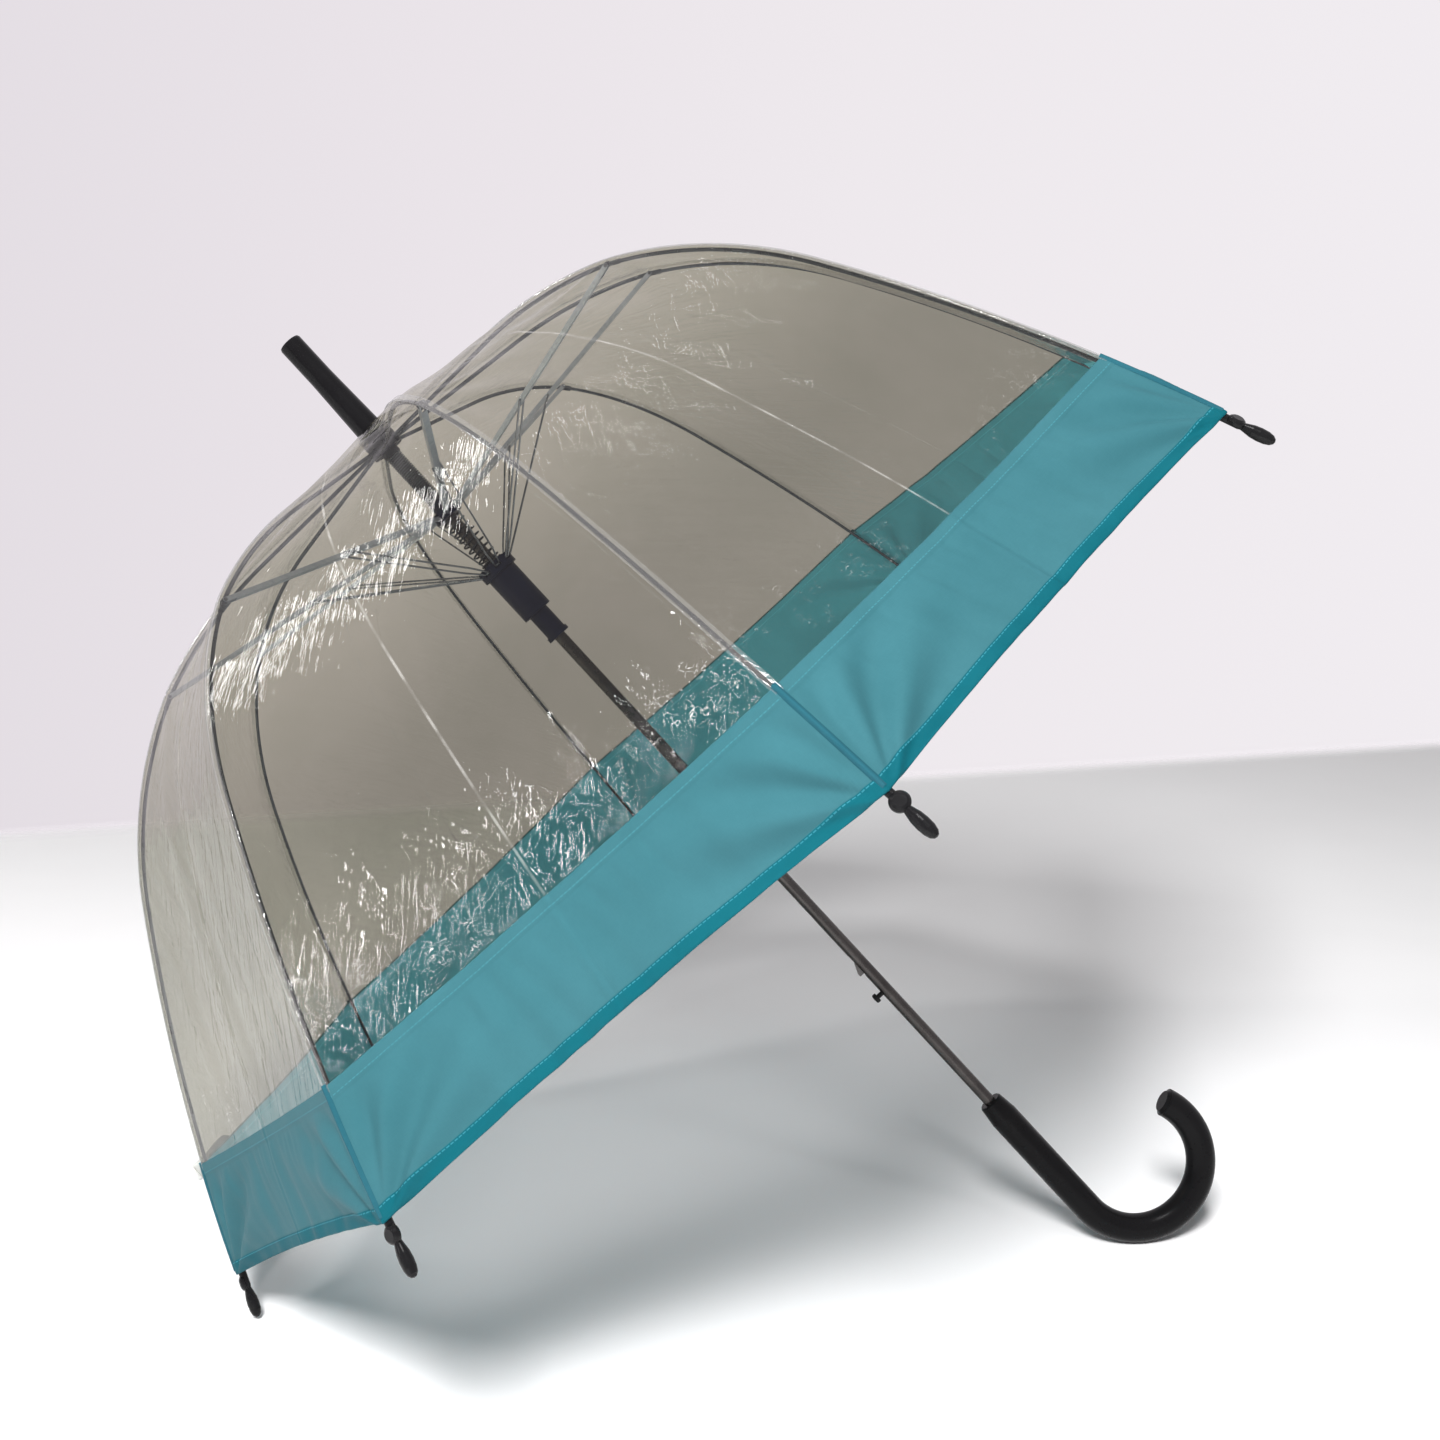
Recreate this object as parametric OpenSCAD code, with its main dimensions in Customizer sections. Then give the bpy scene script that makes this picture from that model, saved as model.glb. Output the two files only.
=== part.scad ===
// Automatic dome umbrella with a see-through canopy, a fabric border band,
// eight ribs and a crook handle. Millimetres, +Z towards the ferrule.
// The origin is on the shaft axis at the top of the straight grip.

/* [Canopy and ribs] */
// Height of the top notch's upper face above the grip datum
notch_z = 604; // [560:1:640]
// Length of the straight part of a rib, from the top notch
rib_straight = 101; // [80:1:120]
// Length of the bent part of a rib, up to its joint
rib_bend = 101; // [80:1:120]
// Downward slope of a rib where it leaves the top notch
slope_a = 3.2; // [2:0.1:6]
// Downward slope of a rib at its joint
slope_b = 23.8; // [18:0.1:26]
// Downward slope of the outer rod at the joint
slope_c = 27; // [22:0.1:30]
// Bend radius of the outer rod's shoulder
shoulder_r = 257; // [230:1:280]
// Length of the outer rod's shoulder
shoulder_len = 132; // [110:1:140]
// Bend radius of the outer rod's lower part
skirt_r = 1290; // [1000:10:1500]
// Length of the outer rod's lower part
skirt_len = 235; // [220:1:260]
// Radius of the inner rib rod
rib_rod_r = 1.25; // [1:0.05:1.5]
// Radius of the outer rib rod
outer_rod_r = 1.1; // [0.9:0.05:1.3]
// Height of the fabric border band along a rib
band_h = 72; // [60:1:90]
// Thickness of the film and of the band
skin_t = 0.3; // [0.2:0.1:0.6]
// Lift of the rim half-way between two ribs
rim_lift = 4; // [0:0.5:8]
// Azimuth of the first rib
first_az = -39; // [-60:0.5:0]

/* [Shaft and handle] */
// Outer radius of the shaft tube
shaft_r = 4; // [3.5:0.1:5]
// Bore radius of the shaft tube
shaft_bore_r = 3.2; // [2.6:0.1:3.4]
// Radius of the straight grip
grip_r = 9.6; // [8:0.1:12]
// Length of the straight grip below the datum
grip_len = 84; // [60:1:100]
// Centreline radius of the crook
crook_r = 44; // [38:1:50]
// Sweep of the crook
crook_sweep = 201; // [170:1:210]
// Length of the ferrule
ferrule_len = 77; // [50:1:90]

// Radius of the ferrule's straight tip
tip_r = 7.7; // [7:0.1:8.5]
// Length of the ferrule's straight tip
tip_len = 28; // [20:1:35]

/* [Mechanism] */
// Radius of the two notch wires, where the rib eyes and stretcher eyes turn
pivot_r = 8; // [7.5:0.1:9]
// Depth of the top notch wire below the notch's upper face
pivot_drop = 9; // [8:0.5:10]
// Distance along a stretcher from the slide notch to the link pin
link_at = 94; // [88:1:100]
// Radius of the link ends in the runner
runner_pivot_r = 11.5; // [11:0.1:12]
// Drop from the slide notch wire to the link ends in the runner
runner_drop = 46.5; // [42:0.1:48]
// Length of the runner
runner_len = 63; // [58:1:66]
// Travel of the release button
press = 3.2; // [2.5:0.1:3.6]

/* [Hidden] */
$fn = 48;
e = 0.02;
gores = 8;
gore_a = 360 / gores;

// The rib's centre line in the radial plane: [radius, height, downward slope].
za = notch_z - pivot_drop;
bend_r = rib_bend / ((slope_b - slope_a) * PI / 180);
slope_d = slope_c + shoulder_len / shoulder_r * 180 / PI;
slope_e = slope_d + skirt_len / skirt_r * 180 / PI;
function step_arc(p, s0, s1, r) = [p[0] + r * (sin(s1) - sin(s0)), p[1] - r * (cos(s0) - cos(s1))];
A = [pivot_r, za];
B = [A[0] + rib_straight * cos(slope_a), A[1] - rib_straight * sin(slope_a)];
P = step_arc(B, slope_a, slope_b, bend_r);
Q = step_arc(P, slope_c, slope_d, shoulder_r);
T = step_arc(Q, slope_d, slope_e, skirt_r);
len_in = rib_straight + rib_bend;
len_all = len_in + shoulder_len + skirt_len;
band_s = len_all - band_h;

function line_at(s) =
  s <= rib_straight ? [A[0] + s * cos(slope_a), A[1] - s * sin(slope_a), slope_a] :
  s <= len_in ? let(a = slope_a + (s - rib_straight) / bend_r * 180 / PI, q = step_arc(B, slope_a, a, bend_r)) [q[0], q[1], a] :
  s <= len_in + shoulder_len ? let(a = slope_c + (s - len_in) / shoulder_r * 180 / PI, q = step_arc(P, slope_c, a, shoulder_r)) [q[0], q[1], a] :
  let(a = slope_d + (s - len_in - shoulder_len) / skirt_r * 180 / PI, q = step_arc(Q, slope_d, a, skirt_r)) [q[0], q[1], a];
function off_line(s, d) = let(c = line_at(s)) [c[0] + d * sin(c[2]), c[1] + d * cos(c[2])];

// The joint pin J, the link pin M, the runner end R and the height of the slide notch wire.
// Rib and stretcher are equally long between pins, so the slide notch stays on the axis.
J = P;
zs = 2 * J[1] - za;
arm = norm([J[0] - pivot_r, J[1] - zs]);
arm_a = atan2(J[1] - zs, J[0] - pivot_r);
M = [pivot_r + link_at * cos(arm_a), zs + link_at * sin(arm_a)];
R = [runner_pivot_r, zs - runner_drop];
link_len = norm(M - R);
link_a = atan2(M[1] - R[1], M[0] - R[0]);
run_top = R[1] + 3.5;
run_bot = run_top - runner_len;
step_z = run_top - 42.5;
catch_z = 134;
button_z = 116;

function az(k) = first_az - gore_a * (k - 1);

// ---------- helpers ----------
module at_rib(k) { rotate([0, 0, az(k)]) children(); }
// A cylinder across the radial plane, centred on it.
module cross_pin(p, r, w) { translate([p[0], 0, p[1]]) rotate([90, 0, 0]) cylinder(r = r, h = w, center = true); }
// A rod whose centre line is an arc; slopes are downward angles.
module rod_arc(p0, s0, s1, r, rod) {
  translate([p0[0] - r * sin(s0), 0, p0[1] - r * cos(s0)])
    rotate([90, 0, 0]) rotate([0, 0, 90 - s1])
      rotate_extrude(angle = s1 - s0, $fn = 400) translate([r, 0]) circle(rod, $fn = 20);
}
// A straight rod from p0, going outward at a downward slope.
module rod_line(p0, slope, len, rod) {
  translate([p0[0], 0, p0[1]]) rotate([0, 90 + slope, 0]) cylinder(r = rod, h = len, $fn = 20);
}
// A short collar that joins two rod pieces at a point [radius, height, slope] of their line.
module rod_collar(c, rod) { rod_line([c[0] - 0.5 * cos(c[2]), c[1] + 0.5 * sin(c[2])], c[2], 1, rod + 0.03); }
// A box that runs along a line in the radial plane.
module bar(p0, slope, len, w, h) {
  translate([p0[0], 0, p0[1]]) rotate([0, slope, 0]) translate([0, -w / 2, -h / 2]) cube([len, w, h]);
}

// ---------- shaft group ----------
module shaft_tube() {
  color("dimgray") difference() {
    translate([0, 0, -56]) cylinder(r = shaft_r, h = notch_z + 50 + 56);
    translate([0, 0, -56 - e]) cylinder(r = shaft_bore_r, h = notch_z + 50 + 56 + 2 * e);
    translate([-shaft_r - 1, -1.6, catch_z - 2]) cube([shaft_r + 0.5, 3.2, 17]);
    translate([-shaft_r - 1, 0, button_z]) rotate([0, 90, 0]) cylinder(r = 1.75, h = shaft_r);
  }
}
module ferrule() {
  color("black") difference() {
    translate([0, 0, notch_z + 2.6]) rotate_extrude() polygon([[0, 0], [9.4, 0], [9.4, 2], [9, 3], [tip_r, ferrule_len - tip_len - 1.6],
      [tip_r, ferrule_len - 1.6], [tip_r - 0.5, ferrule_len - 0.4], [tip_r - 1.3, ferrule_len], [0, ferrule_len]]);
    translate([0, 0, notch_z]) cylinder(r = shaft_r + 0.03, h = 51);
  }
}
module ferrule_washer() {
  color("gray") difference() {
    translate([0, 0, notch_z + 1.1]) cylinder(r = 11.4, h = 1.5);
    translate([0, 0, notch_z]) cylinder(r = shaft_r + 0.03, h = 4);
  }
}
module top_notch() {
  color([0.06, 0.06, 0.07]) difference() {
    union() {
      translate([0, 0, notch_z - 13]) cylinder(r = 11, h = 13);
      translate([0, 0, notch_z - 17]) cylinder(r = 6, h = 5);
    }
    translate([0, 0, notch_z - 20]) cylinder(r = shaft_r + 0.03, h = 30);
    for (k = [1:gores]) at_rib(k) translate([6.1, -1, notch_z - 14]) cube([8, 2, 7.2]);
    translate([0, 0, za]) rotate_extrude() translate([pivot_r - 0.6, -0.6]) square(1.2);
  }
}
module notch_wire() {
  color("silver") translate([0, 0, za]) rotate_extrude($fn = 96) translate([pivot_r, 0]) circle(0.5, $fn = 20);
}
module handle() {
  color([0.04, 0.04, 0.045]) difference() {
    union() {
      cylinder(r1 = grip_r, r2 = 8, h = 13);
      translate([0, 0, 13]) cylinder(r1 = 8, r2 = 7.2, h = 1);
      translate([0, 0, -grip_len]) cylinder(r = grip_r, h = grip_len, $fn = 64);
      translate([crook_r, 0, -grip_len]) rotate([90, 0, 0]) rotate([0, 0, 180])
        rotate_extrude(angle = crook_sweep, $fn = 120) translate([crook_r, 0]) circle(grip_r, $fn = 64);
      translate([0, 0, -grip_len - 0.5]) cylinder(r = grip_r + 0.05, h = 1, $fn = 64);
      translate([crook_r, 0, -grip_len]) rotate([0, -(180 + crook_sweep), 0]) translate([crook_r, 0, -0.6])
        cylinder(r1 = grip_r - 0.3, r2 = grip_r - 2.6, h = 3, $fn = 64);
    }
    translate([0, 0, -60]) cylinder(r = shaft_r + 0.03, h = 80);
  }
}
module catch() {
  color("dimgray") union() {
    translate([-2.5, -1.3, catch_z - 24]) cube([0.5, 2.6, 44]);
    rotate([90, 0, 0]) linear_extrude(height = 2.6, center = true)
      polygon([[-2.2, catch_z], [-7, catch_z], [-7, catch_z + 2], [-2.2, catch_z + 13]]);
  }
}
module release_button() {
  color("black") translate([0, 0, button_z]) rotate([0, -90, 0]) {
    translate([0, 0, 2.8]) cylinder(r = 1.6, h = 5.2);
    translate([0, 0, 7.5]) rotate_extrude() polygon([[0, 0], [2.9, 0], [3.2, 0.4], [3.2, 2.2], [2.6, 2.9], [0, 3.2]]);
  }
}
module button_spring() {
  color("silver") translate([2.3, -1, catch_z - 26]) cube([0.4, 2, 50]);
}

// ---------- sliding group ----------
module slide_notch() {
  color([0.08, 0.09, 0.16]) difference() {
    union() {
      translate([0, 0, zs - 3]) cylinder(r = 9.8, h = 6.5);
      translate([0, 0, zs - 3]) cylinder(r = 5.9, h = 13);
    }
    translate([0, 0, zs - 5]) cylinder(r = shaft_r + 0.08, h = 20);
    for (k = [1:gores]) at_rib(k) translate([6.1, -1, zs - 2]) cube([6, 2, 14]);
    translate([0, 0, zs]) rotate_extrude() translate([pivot_r - 0.6, -0.6]) square(1.2);
  }
}
module slide_notch_wire() {
  color("silver") translate([0, 0, zs]) rotate_extrude($fn = 96) translate([pivot_r, 0]) circle(0.5, $fn = 20);
}
module runner() {
  color([0.07, 0.09, 0.18]) difference() {
    union() {
      translate([0, 0, run_top - 8]) cylinder(r = 12.6, h = 8);
      translate([0, 0, step_z]) cylinder(r = 10.4, h = 36);
      translate([0, 0, run_bot]) cylinder(r = 7, h = 24);
      translate([0, 0, run_bot]) cylinder(r = 7.9, h = 3);
    }
    translate([0, 0, run_bot - 1]) cylinder(r = shaft_r + 0.08, h = runner_len + 2);
    for (k = [1:gores]) at_rib(k) translate([10.2, -2.6, R[1] - 1.3]) cube([6, 5.2, 8]);
    translate([-14, -1.8, run_bot + 4.2]) cube([11, 3.6, 16]);
  }
}

// ---------- springs ----------
function ring_pt(c, u, v, r, a) = c + r * (cos(a) * u + sin(a) * v);
module coil(r, wire, z0, z1, turns, per, sides) {
  n = round(turns * per);
  rise = (z1 - z0) / turns;
  ca = atan(rise / (2 * PI * r));
  pts = [for (i = [0:n]) let(t = i / n, a = 360 * turns * t, c = [r * cos(a), r * sin(a), z0 + (z1 - z0) * t],
      u = [cos(a), sin(a), 0], v = [sin(a) * sin(ca), -cos(a) * sin(ca), cos(ca)])
    for (j = [0:sides - 1]) ring_pt(c, u, v, wire, 360 * j / sides)];
  polyhedron(points = pts, faces = concat([[for (j = [0:sides - 1]) j]],
    [for (i = [0:n - 1]) for (j = [0:sides - 1]) let(a = i * sides + j, b = i * sides + (j + 1) % sides)
      [a, a + sides, b + sides, b]],
    [[for (j = [0:sides - 1]) n * sides + sides - 1 - j]]));
}
module opening_spring() { color([0.1, 0.1, 0.11]) coil(6.9, 0.65, run_top + 0.8, zs - 3.8, 6, 20, 6); }
module buffer_spring() { color([0.16, 0.17, 0.18]) coil(5, 0.55, zs + 11, notch_z - 17.8, 15, 14, 6); }

// ---------- skins ----------
// A closed thin panel over a grid of inner points and a grid of outer points.
module panel(inner, outer) {
  nr = len(inner); nc = len(inner[0]); m = nr * nc;
  pts = concat([for (r = inner) for (p = r) p], [for (r = outer) for (p = r) p]);
  function id(i, j) = i * nc + j;
  polyhedron(points = pts, faces = concat(
    [for (i = [0:nr - 2]) for (j = [0:nc - 2]) [id(i, j), id(i, j + 1), id(i + 1, j + 1)]],
    [for (i = [0:nr - 2]) for (j = [0:nc - 2]) [id(i, j), id(i + 1, j + 1), id(i + 1, j)]],
    [for (i = [0:nr - 2]) for (j = [0:nc - 2]) [m + id(i, j), m + id(i + 1, j + 1), m + id(i, j + 1)]],
    [for (i = [0:nr - 2]) for (j = [0:nc - 2]) [m + id(i, j), m + id(i + 1, j), m + id(i + 1, j + 1)]],
    [for (i = [0:nr - 2]) [id(i, 0), id(i + 1, 0), m + id(i + 1, 0)]],
    [for (i = [0:nr - 2]) [id(i, 0), m + id(i + 1, 0), m + id(i, 0)]],
    [for (i = [0:nr - 2]) [id(i, nc - 1), m + id(i + 1, nc - 1), id(i + 1, nc - 1)]],
    [for (i = [0:nr - 2]) [id(i, nc - 1), m + id(i, nc - 1), m + id(i + 1, nc - 1)]],
    [for (j = [0:nc - 2]) [id(0, j), m + id(0, j), m + id(0, j + 1)]],
    [for (j = [0:nc - 2]) [id(0, j), m + id(0, j + 1), id(0, j + 1)]],
    [for (j = [0:nc - 2]) [id(nr - 1, j), m + id(nr - 1, j + 1), m + id(nr - 1, j)]],
    [for (j = [0:nc - 2]) [id(nr - 1, j), id(nr - 1, j + 1), m + id(nr - 1, j + 1)]]));
}
skin_off = 2.8;
cols = 4;
seam = 0.03;
// A skin point: c is [radius, height] over a rib, w runs from 0 to 1 across the gore.
function gore_pt(c, w, lift) = let(g = gore_a * (w * (1 - 2 * seam / gore_a) + seam / gore_a), r = c[0] * cos(gore_a / 2) / cos(g - gore_a / 2))
  [r * cos(-g), r * sin(-g), c[1] + lift * (1 - pow(2 * w - 1, 2))];
function skin_grid(line, lifts) = [for (i = [0:len(line) - 1]) [for (j = [0:cols]) gore_pt(line[i], j / cols, lifts[i])]];
// Each gore is five closed panels, one below the other, a hair apart.
film_s = [[34, 72, 101, 125, 148, 172], [172, 192, 202, 212, 238],
  [238, 264, 290, 316, 342], [342, 380, 420, 460, band_s - 0.3]];
function film_ring(g, d) = [for (i = [0:len(g) - 1]) off_line(g[i] + (i == 0 ? 0.04 : 0), skin_off + d)];
function film_crown(d) = [[4.9, notch_z + 0.25 + d], [14 + d, notch_z + 0.25 + d], off_line(34, skin_off + d)];
band_ss = [for (i = [0:3]) band_s + (band_h - 1) * i / 3];
function rim(s) = rim_lift * max(0, (s - band_s) / band_h);
module canopy_film() {
  color([0.75, 0.82, 0.84, 0.35]) for (k = [1:gores]) at_rib(k) {
    panel(skin_grid(film_crown(0), [0, 0, 0]), skin_grid(film_crown(skin_t), [0, 0, 0]));
    for (g = film_s) panel(skin_grid(film_ring(g, 0), [for (p = g) 0]), skin_grid(film_ring(g, skin_t), [for (p = g) 0]));
  }
}
module border_band() {
  color([0.25, 0.68, 0.75]) for (k = [1:gores]) at_rib(k)
    panel(skin_grid([for (s = band_ss) off_line(s, skin_off)], [for (s = band_ss) rim(s)]),
      skin_grid([for (s = band_ss) off_line(s, skin_off + skin_t)], [for (s = band_ss) rim(s)]));
}
// The closing strap is sewn to the band's upper edge beside the fourth rib.
strap_p = off_line(band_s + 4, skin_off + skin_t + 0.4);
module strap_frame() { rotate([0, 0, az(4) - 2.4]) translate([strap_p[0], 0, strap_p[1]]) rotate([0, 0, -20]) children(); }
module closure_strap() {
  color([0.9, 0.92, 0.92]) strap_frame() {
    translate([0, -44, -6]) cube([0.8, 44, 12]);
    translate([0, -6, -6]) cube([9, 6, 12]);
  }
}
module strap_snap() {
  color("white") strap_frame() translate([9.05, -3, 0]) rotate([0, 90, 0]) rotate_extrude() polygon([[0, 0], [4.6, 0], [4.6, 1.2], [3.2, 2], [0, 2]]);
}

// ---------- rib groups ----------
eye_len = 7;
module rib(k) {
  color([0.25, 0.27, 0.29]) at_rib(k) difference() {
    union() {
      cross_pin(A, 1.7, 1.5);
      bar(A, slope_a, eye_len + 1, 1.5, 2.4);
      rod_line(line_at(eye_len), slope_a, rib_straight - eye_len, rib_rod_r);
      rod_arc(B, slope_a, slope_b - 5 / bend_r * 180 / PI, bend_r, rib_rod_r);
      rod_collar(line_at(rib_straight), rib_rod_r);
      // flattened end with the joint rivet
      cross_pin(P, 1.7, 1.2);
      bar(line_at(len_in - 6.5), slope_b - 0.6, 6.5, 1.2, 2.4);
      cross_pin(P, 0.5, 5.2);
      for (s = [-1, 1]) translate([0, s * 2.5, 0]) cross_pin(P, 1.1, 0.5);
    }
    cross_pin(A, 0.62, 4);
  }
}
module rib_outer(k) {
  color([0.2, 0.22, 0.24]) at_rib(k) difference() {
    union() {
      for (s = [-1, 1]) translate([0, s * 1.05, 0]) {
        cross_pin(P, 1.7, 0.6);
        bar(P, slope_c + 0.8, 7, 0.6, 2.4);
      }
      bar(line_at(len_in + 4.5), slope_c + 1.5, 4, 2.7, 2.5);
      rod_arc(line_at(len_in + 6), slope_c + 6 / shoulder_r * 180 / PI, slope_d, shoulder_r, outer_rod_r);
      rod_arc(Q, slope_d, slope_e, skirt_r, outer_rod_r);
      rod_line(T, slope_e, 6, outer_rod_r);
      rod_collar(line_at(len_in + shoulder_len), outer_rod_r);
      rod_collar([T[0], T[1], slope_e], outer_rod_r);
    }
    cross_pin(P, 0.58, 6);
  }
}
module rib_tip(k) {
  color("black") at_rib(k) translate([T[0], 0, T[1]]) rotate([0, 90 + slope_e, 0]) difference() {
    union() {
      translate([0, 0, -8]) rotate_extrude() polygon([[0, 0], [2.1, 0], [2.4, 0.6], [2.4, 15.5], [2, 17], [2.6, 19.5],
        [3.4, 23], [3.7, 27], [3.5, 31], [2.7, 34], [1.4, 35.6], [0, 36]]);
      translate([-3.4, 0, 5.4]) rotate([0, 90, 0]) rotate_extrude() polygon([[0, 0], [3.2, 0], [4.3, 0.7], [5.1, 1.8], [5.1, 3.4], [0, 3.4]]);
    }
    translate([0, 0, -9]) cylinder(r = outer_rod_r + 0.05, h = 15.4, $fn = 20);
  }
}
fork_len = 9;
module stretcher(k) {
  color([0.62, 0.65, 0.68]) at_rib(k) translate([pivot_r, 0, zs]) rotate([0, -arm_a, 0]) difference() {
    union() {
      rotate([90, 0, 0]) cylinder(r = 1.7, h = 1.5, center = true);
      translate([0, -0.75, -1.2]) cube([9, 1.5, 2.4]);
      difference() {
        union() {
          translate([8, -2.1, -1.4]) cube([arm - 8, 4.2, 2.8]);
          translate([arm, 0, 0]) rotate([90, 0, 0]) cylinder(r = 1.4, h = 4.2, center = true);
        }
        translate([10.5, -1.55, -0.9]) cube([arm, 3.1, 4]);
        translate([arm - fork_len, -1.55, -3]) cube([fork_len + 5, 3.1, 6]);
      }
    }
    rotate([90, 0, 0]) cylinder(r = 0.62, h = 4, center = true);
    translate([arm, 0, 0]) rotate([90, 0, 0]) cylinder(r = 0.58, h = 6, center = true);
    translate([link_at, 0, 0]) rotate([90, 0, 0]) cylinder(r = 0.68, h = 6, center = true);
  }
}
link_y = 2.85;
module link(k) {
  color([0.7, 0.72, 0.74]) at_rib(k) translate([R[0], 0, R[1]]) rotate([0, 90 - link_a, 0]) {
    rotate([90, 0, 0]) cylinder(r = 0.6, h = 3, center = true, $fn = 20);
    translate([0, 0, link_len]) rotate([90, 0, 0]) cylinder(r = 0.6, h = 2 * link_y, center = true, $fn = 20);
    for (s = [-1, 1]) {
      translate([0, s * 1.5, 0]) {
        sphere(r = 0.62, $fn = 20);
        rotate([-s * atan((link_y - 1.5) / 16), 0, 0]) cylinder(r = 0.6, h = norm([link_y - 1.5, 16]), $fn = 20);
      }
      translate([0, s * link_y, 16]) sphere(r = 0.62, $fn = 20);
      translate([0, s * link_y, 16]) cylinder(r = 0.6, h = link_len - 16, $fn = 20);
      translate([0, s * link_y, link_len]) sphere(r = 0.62, $fn = 20);
    }
  }
}

shaft_tube();
ferrule();
ferrule_washer();
top_notch();
notch_wire();
handle();
catch();
release_button();
button_spring();
slide_notch();
slide_notch_wire();
runner();
opening_spring();
buffer_spring();
closure_strap();
strap_snap();
canopy_film();
border_band();
rib(1);  // rib_1
rib(2);  // rib_2
rib(3);  // rib_3
rib(4);  // rib_4
rib(5);  // rib_5
rib(6);  // rib_6
rib(7);  // rib_7
rib(8);  // rib_8
rib_outer(1);  // rib_outer_1
rib_outer(2);  // rib_outer_2
rib_outer(3);  // rib_outer_3
rib_outer(4);  // rib_outer_4
rib_outer(5);  // rib_outer_5
rib_outer(6);  // rib_outer_6
rib_outer(7);  // rib_outer_7
rib_outer(8);  // rib_outer_8
rib_tip(1);  // rib_tip_1
rib_tip(2);  // rib_tip_2
rib_tip(3);  // rib_tip_3
rib_tip(4);  // rib_tip_4
rib_tip(5);  // rib_tip_5
rib_tip(6);  // rib_tip_6
rib_tip(7);  // rib_tip_7
rib_tip(8);  // rib_tip_8
stretcher(1);  // stretcher_1
stretcher(2);  // stretcher_2
stretcher(3);  // stretcher_3
stretcher(4);  // stretcher_4
stretcher(5);  // stretcher_5
stretcher(6);  // stretcher_6
stretcher(7);  // stretcher_7
stretcher(8);  // stretcher_8
link(1);  // link_1
link(2);  // link_2
link(3);  // link_3
link(4);  // link_4
link(5);  // link_5
link(6);  // link_6
link(7);  // link_7
link(8);  // link_8
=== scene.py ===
from math import sin, cos, tan, pi, radians, degrees, atan2, exp, hypot
import bpy
from mathutils import Vector, Matrix, noise


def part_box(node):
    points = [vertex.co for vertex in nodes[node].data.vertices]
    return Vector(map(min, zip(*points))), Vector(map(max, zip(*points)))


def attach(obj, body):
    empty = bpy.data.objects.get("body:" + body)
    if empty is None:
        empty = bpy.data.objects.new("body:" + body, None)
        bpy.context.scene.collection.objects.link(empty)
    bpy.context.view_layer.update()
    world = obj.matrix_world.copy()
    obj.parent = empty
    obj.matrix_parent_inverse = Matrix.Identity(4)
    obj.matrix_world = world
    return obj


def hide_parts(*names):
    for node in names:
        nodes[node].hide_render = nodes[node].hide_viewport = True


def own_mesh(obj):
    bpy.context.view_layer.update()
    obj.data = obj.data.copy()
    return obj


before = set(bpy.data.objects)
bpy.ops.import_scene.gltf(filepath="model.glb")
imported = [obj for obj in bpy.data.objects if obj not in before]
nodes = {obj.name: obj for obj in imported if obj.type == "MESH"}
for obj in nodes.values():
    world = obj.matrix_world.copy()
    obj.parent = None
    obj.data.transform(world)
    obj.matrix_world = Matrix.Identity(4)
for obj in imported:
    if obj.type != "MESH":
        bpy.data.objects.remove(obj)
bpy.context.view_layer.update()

MM = 0.001

# ---------------------------------------------------------------- sizes, in mm, as in part.scad
NOTCH_Z = 604.0
STRAIGHT, BEND, SHOULDER, SKIRT = 101.0, 101.0, 132.0, 235.0
SLOPE_A, SLOPE_B, SLOPE_C = 3.2, 23.8, 27.0
SHOULDER_R, SKIRT_R = 257.0, 1290.0
BAND_H, FIRST_AZ, GORE = 72.0, -39.0, 45.0
LEN_IN = STRAIGHT + BEND
LEN_ALL = LEN_IN + SHOULDER + SKIRT
BAND_S = LEN_ALL - BAND_H
HALF = radians(GORE / 2)


def step_arc(p, a, b, r):
    return p[0] + r * (sin(radians(b)) - sin(radians(a))), p[1] - r * (cos(radians(a)) - cos(radians(b)))


A = (8.0, NOTCH_Z - 9.0)
B = (A[0] + STRAIGHT * cos(radians(SLOPE_A)), A[1] - STRAIGHT * sin(radians(SLOPE_A)))
BEND_R = BEND / radians(SLOPE_B - SLOPE_A)
P = step_arc(B, SLOPE_A, SLOPE_B, BEND_R)
SLOPE_D = SLOPE_C + degrees(SHOULDER / SHOULDER_R)
Q = step_arc(P, SLOPE_C, SLOPE_D, SHOULDER_R)
SLOPE_E = SLOPE_D + degrees(SKIRT / SKIRT_R)
T = step_arc(Q, SLOPE_D, SLOPE_E, SKIRT_R)


def az(k):
    return radians(FIRST_AZ - GORE * (k - 1))


def line_at(s):
    """(radius, height, downward slope) of the rib's centre line, s mm along it."""
    if s <= STRAIGHT:
        return A[0] + s * cos(radians(SLOPE_A)), A[1] - s * sin(radians(SLOPE_A)), SLOPE_A
    if s <= LEN_IN:
        a = SLOPE_A + degrees((s - STRAIGHT) / BEND_R)
        return (*step_arc(B, SLOPE_A, a, BEND_R), a)
    if s <= LEN_IN + SHOULDER:
        a = SLOPE_C + degrees((s - LEN_IN) / SHOULDER_R)
        return (*step_arc(P, SLOPE_C, a, SHOULDER_R), a)
    a = SLOPE_D + degrees((s - LEN_IN - SHOULDER) / SKIRT_R)
    return (*step_arc(Q, SLOPE_D, a, SKIRT_R), a)


def ss(a, b, x):
    """Smooth step from 0 at a to 1 at b."""
    t = min(1.0, max(0.0, (x - a) / (b - a)))
    return t * t * (3 - 2 * t)


# ---------------------------------------------------------------- the skin as one continuous surface
def nz(x, y, z):
    return noise.noise(Vector((x, y, z)))


CRINKLE = {1: 0.35, 2: 1.0, 3: 0.7, 4: 0.45, 5: 0.4, 6: 0.4, 7: 0.35, 8: 0.35}


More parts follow.
